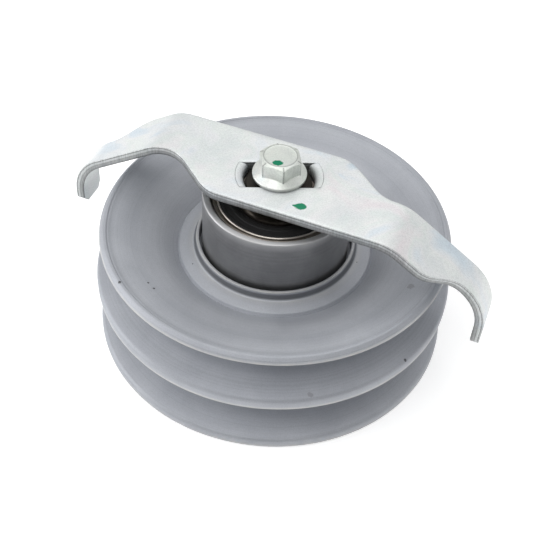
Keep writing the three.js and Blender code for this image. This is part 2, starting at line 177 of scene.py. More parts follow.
# The shader and its output, under fine relief of a strength and a depth in mm if there is any.
def finishMaterial(tree, inputs, relief=None, strength=0, depth=0):
    if relief:
        inputs["Normal"] = addNode(tree, "Bump", {"Height": relief, "Strength": strength,
                                                  "Distance": depth * mm})
    shader = addNode(tree, "BsdfPrincipled", inputs)
    addNode(tree, "OutputMaterial", {"Surface": shader})


# Place on the piece, the same place unrolled to (radius, height) for turned work, and its height.
def places(tree):
    spot = addNode(tree, "TexCoord", out="Object")
    height = addNode(tree, "SeparateXYZ", {"Vector": spot}, "Z")
    flat = addNode(tree, "VectorMath", {0: spot, 1: (1, 1, 0)}, operation="MULTIPLY")
    radius = addNode(tree, "VectorMath", {0: flat}, "Value", operation="LENGTH")
    unrolled = addNode(tree, "CombineXYZ", {"X": radius, "Y": height})
    return spot, unrolled, height


# Noise with features `size` mm wide, and the tones it gives through a colour ramp. Tones first.
def clouds(tree, vector, size, stops, detail=2, rough=0.6, warp=0):
    noise = addNode(tree, "TexNoise", {"Vector": vector, "Scale": 1 / (size * mm), "Detail": detail,
                                       "Roughness": rough, "Distortion": warp})
    return addNode(tree, "ValToRGB", {"Fac": noise}, stops=stops), noise


# Fine grain or tool rings: the colour darkened to `dark` where noise falls under `low` and left alone over
# `high`. Hands back the colour and the noise.
def mottle(tree, colour, vector, size, share, dark, low, high, detail=2, rough=0.6):
    tone, grain = clouds(tree, vector, size, [(low, dark), (high, 1.0)], detail, rough)
    colour = addNode(tree, "Mix", {0: share, 6: colour, 7: tone}, 2, data_type="RGBA",
                     blend_type="MULTIPLY")
    return colour, grain


# A soft-edged patch: 1 inside an ellipsoid about a place in mm, 0 outside, with a ragged edge. It fades
# from the rim to `inner` of the way out, and its teeth are `tooth` mm wide.
patchEdge = dict(inner=0.82, tooth=1.1)


def patch(tree, spot, place, size, ragged, turn=0):
    local = addNode(tree, "Mapping", {"Vector": spot, "Location": [v * mm for v in place],
                                      "Rotation": (0, 0, turn), "Scale": [v / 2 * mm for v in size]},
                    vector_type="TEXTURE")
    distance = addNode(tree, "VectorMath", {0: local}, "Value", operation="LENGTH")
    wobble = addNode(tree, "TexNoise", {"Vector": spot, "Scale": 1 / (patchEdge["tooth"] * mm), "Detail": 2,
                                        "Roughness": 0.55})
    distance = addNode(tree, "Math", {0: wobble, 1: ragged, 2: distance}, operation="MULTIPLY_ADD")
    return addNode(tree, "MapRange", {"Value": distance, "From Min": 1 + ragged / 2,
                                      "From Max": patchEdge["inner"] + ragged / 2})


print("helpers ready")


# Grey iron casting, turned all over and then phosphated: a matt bluish grey with faint rings from the
# lathe tool, a fine grain, painted highlights along sharp edges, painted shade in the step by the hub collar,
# and a few blow holes left by the casting.
# The grain is drawn about twice as coarse as the real one, so that it shows. Pits and smudges are x, y, z
# and size in mm.
# The edge tone is a painted highlight for sharp edges; the #64666a tone is painted shade for the step by the
# hub collar.
castGrey = dict(light="#b9bcc2", dark="#a6a9b0", edge="#c6c5c1", recessShadeTone="#64666a", stain="#6f6f6d",
                pit="#3b3a3a", rough=0.52, metallic=0.35, ring=0.45, grain=0.3, broad=6, cloud=22, rub=5,
                pits=[(-36.8, -47.5, 44.3, 1.1), (-29.3, -41.8, 41.9, 0.8), (-26.5, -43.2, 41.7, 0.9),
                      (-22.2, -22.4, 35.7, 0.7), (5.3, -33.6, 35.6, 0.8), (22.5, -25.9, 35.5, 0.8),
                      (30.3, 1.7, 35.7, 0.5), (57.8, -25.8, 26.0, 1.1), (-14, 55, 42.3, 0.7),
                      (-40, 30, 40.5, 0.6)],
                smudges=[(33.3, -52.2, 26.0, 2.2), (52.0, -8.0, 42.0, 2.6)])


def phosphatedCastIron():
    material, tree = newMaterial("iron_casting_turned_and_phosphated")
    s = castGrey
    spot, unrolled = places(tree)[:2]
    broad = addNode(tree, "TexNoise", {"Vector": unrolled, "Scale": 1 / (s["broad"] * mm), "Detail": 2,
                                       "Roughness": 0.5})
    cloud = addNode(tree, "TexNoise", {"Vector": spot, "Scale": 1 / (s["cloud"] * mm), "Detail": 4,
                                       "Roughness": 0.6, "Distortion": 0.4})
    tone = addNode(tree, "Mix", {0: 0.45, 2: cloud, 3: broad})
    colour = addNode(tree, "ValToRGB", {"Fac": tone}, stops=[(0.34, s["dark"]), (0.66, s["light"])])
    colour, grain = mottle(tree, colour, spot, s["grain"], 0.6, 0.8, 0.34, 0.56)
    colour, rings = mottle(tree, colour, unrolled, s["ring"], 0.55, 0.84, 0.32, 0.5)
    # edges and corners: painted highlight on sharp edges, broken up by noise, and painted shade on corners
    # marked negative, in the step up to the hub collar
    edge = addNode(tree, "Attribute", out="Fac", attribute_name="edge")
    highlightNoise = addNode(tree, "TexNoise", {"Vector": spot, "Scale": 1 / (s["rub"] * mm), "Detail": 3})
    paintedLight = addNode(tree, "MapRange", {"Value": highlightNoise, "From Min": 0.3, "From Max": 0.6, "To Min": 0.35,
                                      "To Max": 0.9})
    paintedLight = addNode(tree, "Math", {0: edge, 1: paintedLight}, operation="MULTIPLY")
    paintedLight = addNode(tree, "Math", {0: paintedLight, 1: 0}, operation="MAXIMUM")
    colour = addNode(tree, "Mix", {0: paintedLight, 6: colour, 7: s["edge"]}, 2, data_type="RGBA")
    recessShade = addNode(tree, "Math", {0: edge, 1: -0.9}, operation="MULTIPLY", use_clamp=True)
    colour = addNode(tree, "Mix", {0: recessShade, 6: colour, 7: s["recessShadeTone"]}, 2, data_type="RGBA")
    for x, y, z, size in s["smudges"]:
        stain = patch(tree, spot, (x, y, z), (size, size, size), 1.6)
        stain = addNode(tree, "Math", {0: stain, 1: 0.4}, operation="MULTIPLY")
        colour = addNode(tree, "Mix", {0: stain, 6: colour, 7: s["stain"]}, 2, data_type="RGBA")
    holes = 0
    for x, y, z, size in s["pits"]:
        one = patch(tree, spot, (x, y, z), (size, size, 1.6 * size), 0.5)
        holes = addNode(tree, "Math", {0: one, 1: holes}, operation="MAXIMUM")
    dark = addNode(tree, "Math", {0: holes, 1: 0.8}, operation="MULTIPLY")
    colour = addNode(tree, "Mix", {0: dark, 6: colour, 7: s["pit"]}, 2, data_type="RGBA")
    roughness = addNode(tree, "MapRange", {"Value": cloud, "To Min": s["rough"] - 0.05,
                                           "To Max": s["rough"] + 0.1})
    roughness = addNode(tree, "Math", {0: paintedLight, 1: -0.12, 2: roughness}, operation="MULTIPLY_ADD")
    relief = addNode(tree, "Mix", {0: 0.3, 2: rings, 3: grain})
    normal = addNode(tree, "Bump", {"Height": relief, "Strength": 0.35, "Distance": 0.035 * mm})
    normal = addNode(tree, "Bump", {"Height": holes, "Strength": 0.8, "Distance": 0.3 * mm,
                                    "Normal": normal}, invert=True)
    finishMaterial(tree, {"Base Color": colour, "Metallic": s["metallic"], "Roughness": roughness,
                          "Normal": normal})
    return material


# Drawn steel tube or bar, turned outside and left bare under an oil film: darker, satin, with fine tool
# rings. Marked edges get a painted highlight, and so does the top land at a height given in mm.
barSteel = dict(cloud=14, grain=0.3, highlit="#bcbcbd", metallic=0.92)


def turnedSteel(name, light, dark, rough, ring, land=None):
    material, tree = newMaterial(name)
    s = barSteel
    spot, unrolled, height = places(tree)
    colour, cloud = clouds(tree, spot, s["cloud"], [(0.3, dark), (0.7, light)], 4, 0.6, 0.3)
    colour, rings = mottle(tree, colour, unrolled, ring, 0.5, 0.82, 0.3, 0.6, rough=0.65)
    colour, grain = mottle(tree, colour, spot, s["grain"], 0.5, 0.85, 0.3, 0.6)
    # painted highlight: marked edges and the top land are mixed towards a brighter tone
    edge = addNode(tree, "Attribute", out="Fac", attribute_name="edge")
    paintedLight = addNode(tree, "Math", {0: edge, 1: 0.7}, operation="MULTIPLY")
    if land is not None:
        highlit = addNode(tree, "MapRange", {"Value": height, "From Min": (land - 0.6) * mm,
                                           "From Max": (land - 0.2) * mm})
        paintedLight = addNode(tree, "Math", {0: paintedLight, 1: highlit}, operation="MAXIMUM")
    colour = addNode(tree, "Mix", {0: paintedLight, 6: colour, 7: s["highlit"]}, 2, data_type="RGBA")
    roughness = addNode(tree, "MapRange", {"Value": cloud, "To Min": rough - 0.06, "To Max": rough + 0.1})
    relief = addNode(tree, "Mix", {0: 0.22, 2: rings, 3: grain})
    finishMaterial(tree, {"Base Color": colour, "Metallic": s["metallic"], "Roughness": roughness}, relief,
                   0.3, 0.02)
    return material


# Cold-rolled sheet or a forged bolt with clear-passivated zinc: nearly white metal, cloudy, with a fine
# spangle, very faint blue, green and pink patches from the passivation film, and dabs of marking paint.
# A sheared edge shows its bands through the thickness: a rolled-over lip, the cut and the torn half, darkened
# further as painted shade of the edge face. A piece with the shade flag gets painted shade, dark grey, where
# its edge attribute says. The spangle is drawn coarser than it is, to show.
zinc = dict(cloud=12, film=26, spangle=0.75, speck=0.3, score=0.5, paint="#178560", shadeTone="#4d4f50",
            hues=[(0.3, "#c9e0f0"), (0.42, "#f2f4f5"), (0.5, "#e8f1ec"), (0.58, "#f6f5f4"), (0.7, "#f3e6ea")],
            bands=[(0.06, 1.0), (0.17, 1.0), (0.21, 0.3), (0.27, 0.5), (0.36, 0.95), (0.52, 0.85),
                   (0.6, 0.45), (0.75, 0.6), (0.95, 0.4)])


def clearZinc(name, light, dark, rough, metallic, tint, dabs=(), level=0, sheared=False, edgeShaded=False):
    material, tree = newMaterial(name)
    s = zinc
    spot = addNode(tree, "TexCoord", out="Object")
    colour, cloud = clouds(tree, spot, s["cloud"], [(0.3, dark), (0.62, light)], 5, 0.62, 0.5)
    hues = clouds(tree, spot, s["film"], s["hues"], 3, 0.5, 1.2)[0]
    colour = addNode(tree, "Mix", {0: tint, 6: colour, 7: hues}, 2, data_type="RGBA", blend_type="MULTIPLY")
    rolled = addNode(tree, "Mapping", {"Vector": spot, "Scale": (1, 2, 1)})
    colour, grain = mottle(tree, colour, rolled, s["spangle"], 0.55, 0.78, 0.36, 0.58, 3, 0.7)
    colour = mottle(tree, colour, spot, s["speck"], 0.45, 0.78, 0.34, 0.56)[0]
    for x, y, wide, high, turn in dabs:
        dab = patch(tree, spot, (x, y, level), (wide, high, 2), 0.5, turn)
        colour = addNode(tree, "Mix", {0: dab, 6: colour, 7: s["paint"]}, 2, data_type="RGBA")
    edge = addNode(tree, "Attribute", out="Fac", attribute_name="edge")
    # painted shade: a dark grey laid where the edge attribute says, broken up by the spangle
    if edgeShaded:
        broken = addNode(tree, "MapRange", {"Value": grain, "From Min": 0.35, "From Max": 0.6,
                                            "To Min": 0.45})
        paintedShade = addNode(tree, "Math", {0: edge, 1: broken}, operation="MULTIPLY")
        colour = addNode(tree, "Mix", {0: paintedShade, 6: colour, 7: s["shadeTone"]}, 2, data_type="RGBA")
    # the sheared bands: real cut and torn zones, darkened further as painted shade of the edge face
    if sheared:
        depth = addNode(tree, "Math", {0: grain, 1: 0.14, 2: edge}, operation="MULTIPLY_ADD")
        bands = addNode(tree, "ValToRGB", {"Fac": depth}, stops=s["bands"])
        colour = addNode(tree, "Mix", {0: 1.0, 6: colour, 7: bands}, 2, data_type="RGBA",
                         blend_type="MULTIPLY")
        upright = addNode(tree, "Mapping", {"Vector": spot, "Scale": (1, 1, 0.12)})
        colour = mottle(tree, colour, upright, s["score"], 0.8, 0.72, 0.38, 0.58)[0]
    roughness = addNode(tree, "MapRange", {"Value": cloud, "To Min": rough - 0.06, "To Max": rough + 0.1})
    relief = addNode(tree, "Mix", {0: 0.35, 2: cloud, 3: grain})
    finishMaterial(tree, {"Base Color": colour, "Metallic": metallic, "Roughness": roughness}, relief, 0.25,
                   0.07)
    return material


# Nitrile seal, moulded over a steel washer: matt black with a faint dusty bloom.
def sealRubber():
    material, tree = newMaterial("nitrile_rubber_moulded")
    spot = addNode(tree, "TexCoord", out="Object")
    skin = addNode(tree, "TexNoise", {"Vector": spot, "Scale": 1 / (0.25 * mm), "Detail": 2})
    colour = clouds(tree, spot, 2, [(0.35, "#0c0c0d"), (0.85, "#19191a")], 4)[0]
    finishMaterial(tree, {"Base Color": colour, "Roughness": 0.75, "IOR": 1.5}, skin, 0.3, 0.02)
    return material


# Glass-filled nylon cage, injection moulded: dark, a little waxy, with short fibres in the skin.
def cageNylon():
    material, tree = newMaterial("nylon_moulded_black")
    spot = addNode(tree, "TexCoord", out="Object")
    fibres = addNode(tree, "Mapping", {"Vector": spot, "Scale": (1, 4, 1)})
    colour, streak = clouds(tree, fibres, 0.4, [(0.3, "#1d1b19"), (0.8, "#2e2b28")], 3, 0.5)
    finishMaterial(tree, {"Base Color": colour, "Roughness": 0.5, "IOR": 1.53}, streak, 0.2, 0.02)
    return material


# Bearing steel, ground and lapped, under a thin film of grease: a warm grey darkened as painted shade of the
# bore under the keeper, with hair-fine rings, and a painted highlight on marked edges.
def groundSteel():
    material, tree = newMaterial("bearing_steel_ground")
    spot, unrolled = places(tree)[:2]
    # the ring tones are darkened as painted shade of the bore
    colour = clouds(tree, spot, 5, [(0.3, "#6d655d"), (0.7, "#8a837b")], 4, 0.6, 0.6)[0]
    colour, rings = mottle(tree, colour, unrolled, 0.18, 0.5, 0.8, 0.3, 0.6)
    # painted highlight on marked edges, such as the outer ring's bead
    edge = addNode(tree, "Attribute", out="Fac", attribute_name="edge")
    paintedLight = addNode(tree, "Math", {0: edge, 1: 0.7}, operation="MULTIPLY")
    colour = addNode(tree, "Mix", {0: paintedLight, 6: colour, 7: "#dcd6cf"}, 2, data_type="RGBA")
    finishMaterial(tree, {"Base Color": colour, "Metallic": 0.95, "Roughness": 0.3}, rings, 0.25, 0.01)
    return material


# Through-hardened chrome steel, lapped: a mirror, with a trace of grease that dulls it in patches.
def lappedSteel():
    material, tree = newMaterial("chrome_steel_lapped")
    spot = addNode(tree, "TexCoord", out="Object")
    colour, film = clouds(tree, spot, 2.5, [(0.3, "#c2c3c4"), (0.7, "#dcdddd")], 4)
    roughness = addNode(tree, "MapRange", {"Value": film, "To Min": 0.06, "To Max": 0.22})
    finishMaterial(tree, {"Base Color": colour, "Metallic": 1, "Roughness": roughness})
    return material


# Spring steel with an oiled phosphate skin: nearly black, matt, rubbed bright on a few high spots.
def oiledSpringSteel():
    material, tree = newMaterial("spring_steel_phosphated_and_oiled")
    spot = addNode(tree, "TexCoord", out="Object")
    colour, rub = clouds(tree, spot, 1.6, [(0.4, "#2b2927"), (0.75, "#4e4b48")], 4, 0.65)
    roughness = addNode(tree, "MapRange", {"Value": rub, "To Min": 0.3, "To Max": 0.6})
    finishMaterial(tree, {"Base Color": colour, "Metallic": 0.8, "Roughness": roughness}, rub, 0.2, 0.02)
    return material


plateTop = top("belt_keeper")
boltTop = top("flange_bolt")
iron = phosphatedCastIron()
tubeSteel = turnedSteel("steel_tube_turned_and_oiled", "#a6a6a7", "#8e8e8f", 0.45, 0.35,
                        land=top("bearing_housing"))
shaftSteel = turnedSteel("steel_bar_turned", "#94979c", "#7e8187", 0.36, 0.25)
# The spacers' near-black tones are painted shade: they sit deep in the bore under the keeper.
spacerSteel = turnedSteel("steel_spacer_turned_and_painted_dark_as_shade", "#4a4641", "#33302c", 0.5, 0.25)
ringSteel = groundSteel()
ballSteel = lappedSteel()
rubber = sealRubber()
nylon = cageNylon()
clipSteel = oiledSpringSteel()
zincSheet = clearZinc("steel_sheet_zinc_plated_clear", "#f6f7f7", "#e9ecee", 0.4, 0.45, 0.5,
                      [(12.0, -11.6, 4.3, 3.4, 0.3), (10.1, -12.0, 2.0, 1.0, 0.3)], plateTop)
# The cut edge's zinc is drawn darker as painted shade of the edge face, on top of its real bands.
shearedZinc = clearZinc("steel_sheet_sheared_edge_zinc_plated", "#e4e6e6", "#c3c7c9", 0.36, 0.6, 0.25,
                        sheared=True)
zincBolt = clearZinc("steel_bolt_zinc_plated_clear", "#f6f6f1", "#dfe1de", 0.38, 0.72, 0.6,
                     [(0.4, -3.7, 4.0, 2.9, 0.32)], boltTop, edgeShaded=True)
print("materials made")


# The lip, the recess and the collar are radius, height from the top flange's edge, fillet and painted edge
# light: above 0 a painted highlight, below 0 painted shade. The dish's three points steer a parabola. The
# web's points are radius, height from the foot and fillet.
pulley = dict(rim=reach("pulley_body"), topRim=62, bottomBand=3.2, lowerMouth=18.7, middleBand=3.9,
              upperMouth=16.6, depth=13.5, halfAngle=19, flangeRound=1.8, rootRound=1.2, sharpEdge=0.12,
              footRound=0.3, skirt=44.5, bore=26.04, hubFoot=3, collar=27.2, collarTop=-3.6, collarFoot=-9.4,
              lip=[(61.5, 1.1, 0.8), (60.3, top("pulley_body") - 42.4, 0.7),
                   (59.5, top("pulley_body") - 42.45, 0.3), (59.1, 1.65, 0.3), (58.5, 1.55, 0.4)],
              dish=[(57.9, 1.2), (46.4, -1.0), (34.9, -8.6)],
              # in the recess the -1 and -0.9 corners get painted shade in the step up to the collar, the
              # positive ones a painted highlight
              recess=[(34.1, -7.4, 0.5), (29.6, -6.7, 0.5, 0.4), (28.75, -6.1, 0.6, -1),
                      (28.45, -4.7, 0, -0.9), (28.2, -3.6, 0.25, 0.8)],
              web=[(32, 3, 0.8), (32, 22.8, 2.5), (34.5, 25.8, 2.5), (40, 25.8, 2.5), (43, 22.8, 2.5)])


# The dish, a parabola between two points: p = (1 - t)^2 a + 2 t (1 - t) b + t^2 c.
def dishCurve(points, level, count=15):
    a, b, c = np.array(points) + (0, level)
    t = np.linspace(0, 1, count)[:, None]
    curve = (1 - t) ** 2 * a + 2 * t * (1 - t) * b + t ** 2 * c
    return [(r, z, 0) for r, z in curve.tolist()]


# One V groove from its lower flange edge to its upper one. The upper edge is left sharp and given a painted
# highlight.
def groove(low, high, lowRim, highRim):
    s = pulley
    root = s["rim"] - s["depth"]
    slope = math.tan(math.radians(s["halfAngle"]))
    return [(lowRim, low, s["flangeRound"]), (root, low + (lowRim - root) * slope, s["rootRound"]),
            (root, high - (highRim - root) * slope, s["rootRound"]), (highRim, high, s["sharpEdge"], 1)]


# The casting's section, turned about the axis: r and z of the outline.
def pulleyBody():
    s = pulley
    rim = s["rim"]
    lowEdge = s["bottomBand"]
    middle = lowEdge + s["lowerMouth"]
    highEdge = middle + s["middleBand"]
    level = highEdge + s["upperMouth"]
    corners = [
        (s["skirt"], 0, 0.8), (rim, 0, s["footRound"], 0.6),
        *groove(lowEdge, middle, rim, rim), *groove(highEdge, level, rim, s["topRim"]),
        *[(r, level + z, *rest) for r, z, *rest in s["lip"]], *dishCurve(s["dish"], level),
        *[(r, level + z, *rest) for r, z, *rest in s["recess"]],
        (s["collar"], level + s["collarTop"], 0.25, 0.3), (s["collar"], level + s["collarFoot"], 0.1),
        (s["bore"], level + s["collarFoot"], 0.1), (s["bore"], s["hubFoot"], 0.4), *s["web"],
    ]
    return turnedPiece("pulley_casting", corners, iron, "pulley", 288, 2.5, stands=["pulley_body"],
                       slot="grey_casting")


pulleyBody()
print("pulley turned")


tube = dict(foot=foot("bearing_housing"), top=top("bearing_housing"), outside=26.02, bore=23.52, stop=19.3,
            clipDepth=1.25, clipWidth=1.8)


# The tube's section: a bearing seat at each end, a stop between them, and a groove for the retaining ring.
def housing():
    s = tube
    lowTop = top("lower_bearing_outer_ring")
    lowFoot = foot("lower_bearing_outer_ring")
    highFoot = foot("upper_bearing_outer_ring")
    bore, stop, clip = s["bore"], s["stop"], s["bore"] + s["clipDepth"]
    corners = [
        (s["outside"], s["foot"], 0.5), (s["outside"], s["top"], 0.5, 0.7), (bore + 0.5, s["top"], 0.2),
        (bore, s["top"] - 0.6, 0.2), (bore, highFoot, 0), (stop, highFoot, 0), (stop, lowTop, 0),
        (bore, lowTop, 0), (bore, lowFoot + 0.05, 0), (clip, lowFoot + 0.05, 0),
        (clip, lowFoot - s["clipWidth"], 0), (bore, lowFoot - s["clipWidth"], 0), (bore, s["foot"], 0.5),
    ]
    return turnedPiece("housing_tube", corners, tubeSteel, "pulley", 192, 3, stands=["bearing_housing"],
                       slot="turned_steel")


housing()


bearing = dict(bore=10, outside=23.5, orbit=16.75, ball=3.97, race=4.27, land=2.55, seat=20.6, recess=0.4,
               seal=0.9, corner=0.9, boreCorner=0.8, balls=8)


# Raceway arc in a ring's land: part of a circle about the ball's centre.
def racewayArc(side, middle, count=9):
    s = bearing
    half = math.acos(s["land"] / s["race"])
    angle = np.linspace(-half, half, count)
    return [(s["orbit"] + side * s["race"] * math.cos(a), middle + s["race"] * math.sin(a), 0) for a in angle]


# The outer ring's section: chamfered outside, a seat for each seal, the raceway, and a bead on top with a
# painted highlight.
def outerRing(label, middle, half):
    s = bearing
    seat = half - s["recess"] - s["seal"]
    land = s["orbit"] + s["land"]
    low, high, outside, bead = middle - half, middle + half, s["outside"], s["seat"]
    corners = [
        (outside - s["corner"], low, 0.3), (outside, low + s["corner"], 0.3),
        (outside, high - s["corner"], 0.3), (outside - s["corner"], high, 0.3), (21.6, high, 0.1),
        (21.3, high - 0.45, 0.1), (21.0, high - 0.1, 0.15, 1), (bead, high - 0.1, 0.15, 1),
        (bead, middle + seat, 0), (land, middle + seat, 0.1), *racewayArc(1, middle)[::-1],
        (land, middle - seat, 0.1), (bead, middle - seat, 0), (bead, low, 0.15),
    ]
    return turnedPiece(label + "_outer_race", corners, ringSteel, "pulley", 128, 3, 2,
                       stands=[label + "_outer_ring"], slot="bearing_steel")


# The inner ring's section: chamfered bore and the raceway.
def innerRing(label, middle, half):
    s = bearing
    land = s["orbit"] - s["land"]
    low, high, bore, corner = middle - half, middle + half, s["bore"], s["boreCorner"]
    corners = [
        (bore, high - corner, 0.3), (bore, low + corner, 0.3), (bore + corner, low, 0.3), (land, low, 0.2),
        *racewayArc(-1, middle),
        (land, high, 0.2), (bore + corner, high, 0.3),
    ]
    return turnedPiece(label + "_inner_race", corners, ringSteel, "spindle_and_keeper", 128, 3, 2,
                       stands=[label + "_inner_ring"], slot="bearing_steel")


# Shallow moulded ridges run round the seal's face, and its lip thins towards the inner ring.
def seal(label, middle, half, side):
    s = bearing
    face = half - s["recess"]
    back = face - s["seal"]
    rim = s["seat"] - 0.02
    ring = [(14.65, back + 0.25, 0.1), (15.4, back, 0.1), (rim, back, 0.1), (rim, face - 0.2, 0.15),
            (20.1, face, 0.2), (19.3, face, 0.2), (19.0, face - 0.25, 0.2), (17.4, face - 0.25, 0.2),
            (17.1, face, 0.2), (15.9, face, 0.2), (15.2, face - 0.35, 0.2), (14.65, face - 0.4, 0.1)]
    corners = [(r, middle + side * z, f) for r, z, f in ring]
    name = label + ("_seal_top" if side > 0 else "_seal_bottom")
    return turnedPiece(name + "_moulding", corners, rubber, "pulley", 128, 3, 3, stands=[name],
                       slot="seal_rubber")


# A ball: latitude and longitude circles about its own centre.
def ball(label, number, middle):
    s = bearing
    around = 2 * math.pi * (number - 1) / s["balls"]
    rows, columns = 17, 32
    lat = np.linspace(-math.pi / 2 + 0.02, math.pi / 2 - 0.02, rows)[:, None]
    lon = np.linspace(0, 2 * math.pi, columns, endpoint=False)[None, :]
    r = s["ball"] - 0.005
    points = np.stack([r * np.cos(lat) * np.cos(lon) + s["orbit"] * math.cos(around),
                       r * np.cos(lat) * np.sin(lon) + s["orbit"] * math.sin(around),
                       r * np.sin(lat) + middle + 0 * lon], -1).reshape(-1, 3)
    faces = gridFaces(rows, columns, False, True)[:, ::-1].tolist()
    faces.append(list(range(columns))[::-1])
    faces.append(list(range((rows - 1) * columns, rows * columns)))
    return addPiece(f"{label}_ball_{number}_lapped", points, faces, ballSteel,
                    label.split("_")[0] + "_ball_train", stands=[f"{label}_ball_{number}"],
                    slot="ball_steel")


# Snap cage: a ring whose upper edge dips under each ball along the ball's own circle and rises to a prong
# between: z = -sqrt(pocket^2 - across^2) in a pocket.
def cage(label, middle):
    s = bearing
    inner, outer, low, prong = 15.2, 18.3, -4.9, 2.6
    columns = 512
    angle = np.linspace(0, 2 * math.pi, columns, endpoint=False)
    pitch = 2 * math.pi / s["balls"]
    across = s["orbit"] * np.abs((angle + pitch / 2) % pitch - pitch / 2)
    pocket = s["race"] + 0.02
    dip = -np.sqrt(np.maximum(pocket ** 2 - across ** 2, 0))
    rise = np.clip((across - pocket) / 0.25, 0, 1)
    high = np.where(across < pocket, dip, prong * rise - 0.5 * np.clip((across - pocket - 1.2), 0, 2) ** 1.5)
    rows = [(inner, low + 0 * high), (outer, low + 0 * high), (outer, high), (inner, high)]
    points = np.concatenate([np.stack([r * np.cos(angle), r * np.sin(angle), middle + z], -1)
                             for r, z in rows])
    faces = gridFaces(4, columns, True, True)[:, ::-1]
    return addPiece(label + "_cage_moulding", points, faces, nylon, label.split("_")[0] + "_ball_train",
                    stands=[label + "_ball_cage"], slot="cage_plastic")


for label in ("upper_bearing", "lower_bearing"):
    lowEnd, highEnd = foot(label + "_outer_ring"), top(label + "_outer_ring")
    middle, half = (lowEnd + highEnd) / 2, (highEnd - lowEnd) / 2
    outerRing(label, middle, half)
    innerRing(label, middle, half)
    seal(label, middle, half, 1)
    seal(label, middle, half, -1)
    cage(label, middle)
    for number in range(1, bearing["balls"] + 1):
        ball(label, number, middle)
nodes["retaining_ring"].data.materials.clear()
nodes["retaining_ring"].data.materials.append(clipSteel)
print("bearings fitted")


stack = dict(journal=9.97, collar=reach("spindle"), tap=4.15, tapDepth=26, mount=6, core=5.1, mountDepth=22,
             spacerBore=10.03, spacer=reach("inner_spacer"), topSpacer=reach("top_spacer"), boltHole=4.35,
             axis=0.02, chamfer=0.4)


# The spindle's section, tapped at both ends, and the two plain spacers on it.
def spindleStack():
    s = stack
    low, high = foot("spindle"), top("spindle")
    seat = foot("lower_bearing_inner_ring")
    mountTop = low + s["mountDepth"]
    journal, tap, core, axis, chamfer = s["journal"], s["tap"], s["core"], s["axis"], s["chamfer"]
    corners = [
        (axis, mountTop + core / 2, 0), (core, mountTop, 0), (core, low + 0.9, 0.1), (s["mount"], low, 0.1),
        (s["collar"], low, 0.5), (s["collar"], seat, 0.3), (journal + 0.3, seat, 0.1),
        (journal, seat + chamfer, 0.1), (journal, high - chamfer, 0.1), (journal - chamfer, high, 0.1),
        (tap + chamfer, high, 0.1), (tap, high - chamfer, 0.1), (tap, high - s["tapDepth"], 0),
        (axis, high - s["tapDepth"] - tap / 2, 0),
    ]
    body = "spindle_and_keeper"
    turnedPiece("spindle_turned", corners, shaftSteel, body, 128, 4, stands=["spindle"], slot="turned_steel")
    for node, inner, outer in (("inner_spacer", s["spacerBore"], s["spacer"]),
                               ("top_spacer", s["boltHole"], s["topSpacer"])):
        low, high = foot(node), top(node)
        ring = [(inner, low, 0.3), (outer, low, 0.3), (outer, high, 0.3), (inner, high, 0.3)]
        turnedPiece(node + "_turned", ring, spacerSteel, body, 128, 4, stands=[node], slot="turned_steel")


spindleStack()
print("spindle stacked")


keeper = dict(sheet=3.2, halfWidth=17.3, armInner=3.4, hookOuter=8.8, shoulder=(19.5, 35.8),
              neck=(57.4, 66.8), ease=4.2, neckEase=3.0, bendStart=39.5, bendRadius=16, slope=32.8,
              hookRadius=20, length=reach("belt_keeper"), longDrop=plateTop - foot("belt_keeper"),
              shortDrop=39.8, innerTip=(2.8, 3.0), outerTip=(1.8, 2.8), hole=12.2, holeHalf=6.3,
              holeTurn=23.5, rollWide=2.6, rollHigh=2.0, rollDrop=1.6, rollWall=2.2, lance=0.15,
              centre=18.5, edgeRound=0.22, across=25, aroundHole=9)


# A step from 0 to 1 between a and b: straight in the middle, with both corners eased by a parabola.
def easedStep(x, a, b, ease):
    def knee(t):
        return np.where(t < -ease, 0, np.where(t > ease, t, (t + ease) ** 2 / (4 * ease)))
    return (knee(x - a) - knee(x - b)) / (b - a)


# The keeper's back edge as a function of x. The front edge is the same after half a turn.
def backEdge(x):
    s = keeper
    rise = easedStep(x, -s["neck"][1], -s["neck"][0], s["neckEase"])
    fall = easedStep(x, s["shoulder"][0], s["shoulder"][1], s["ease"])
    return s["hookOuter"] + (s["halfWidth"] - s["hookOuter"]) * rise - (s["halfWidth"] - s["armInner"]) * fall


# The arm's line from the plate to the tip, as x, z and the angle it slopes at: flat, an arc, straight, the
# hook's arc, and the tip straight down.
def armPath(drop):
    s = keeper
    slope = math.radians(s["slope"])
    bendEndX = s["bendStart"] + s["bendRadius"] * math.sin(slope)
    bendEndZ = -s["bendRadius"] * (1 - math.cos(slope))
    hookStartX = s["length"] - s["hookRadius"] * (1 - math.sin(slope))
    hookStartZ = bendEndZ - (hookStartX - bendEndX) * math.tan(slope)
    hookEndZ = hookStartZ - s["hookRadius"] * math.cos(slope)
    bend = np.linspace(0, slope, 15)[1:]
    hook = np.linspace(slope, math.pi / 2, 29)[1:]
    flat = np.linspace(s["centre"], s["bendStart"], 25)
    straight, tip = np.linspace(0, 1, 25)[1:], np.linspace(0, 1, 13)[1:]
    x = [flat, s["bendStart"] + s["bendRadius"] * np.sin(bend),
         bendEndX + (hookStartX - bendEndX) * straight,
         hookStartX + s["hookRadius"] * (np.sin(hook) - math.sin(slope)), s["length"] + 0 * tip]
    z = [0 * flat, -s["bendRadius"] * (1 - np.cos(bend)), bendEndZ + (hookStartZ - bendEndZ) * straight,
         hookStartZ - s["hookRadius"] * (math.cos(slope) - np.cos(hook)),
         hookEndZ + (-drop - hookEndZ) * tip]
    angle = [0 * flat, bend, slope + 0 * straight, hook, math.pi / 2 + 0 * tip]
    return np.concatenate(x), np.concatenate(z), np.concatenate(angle)


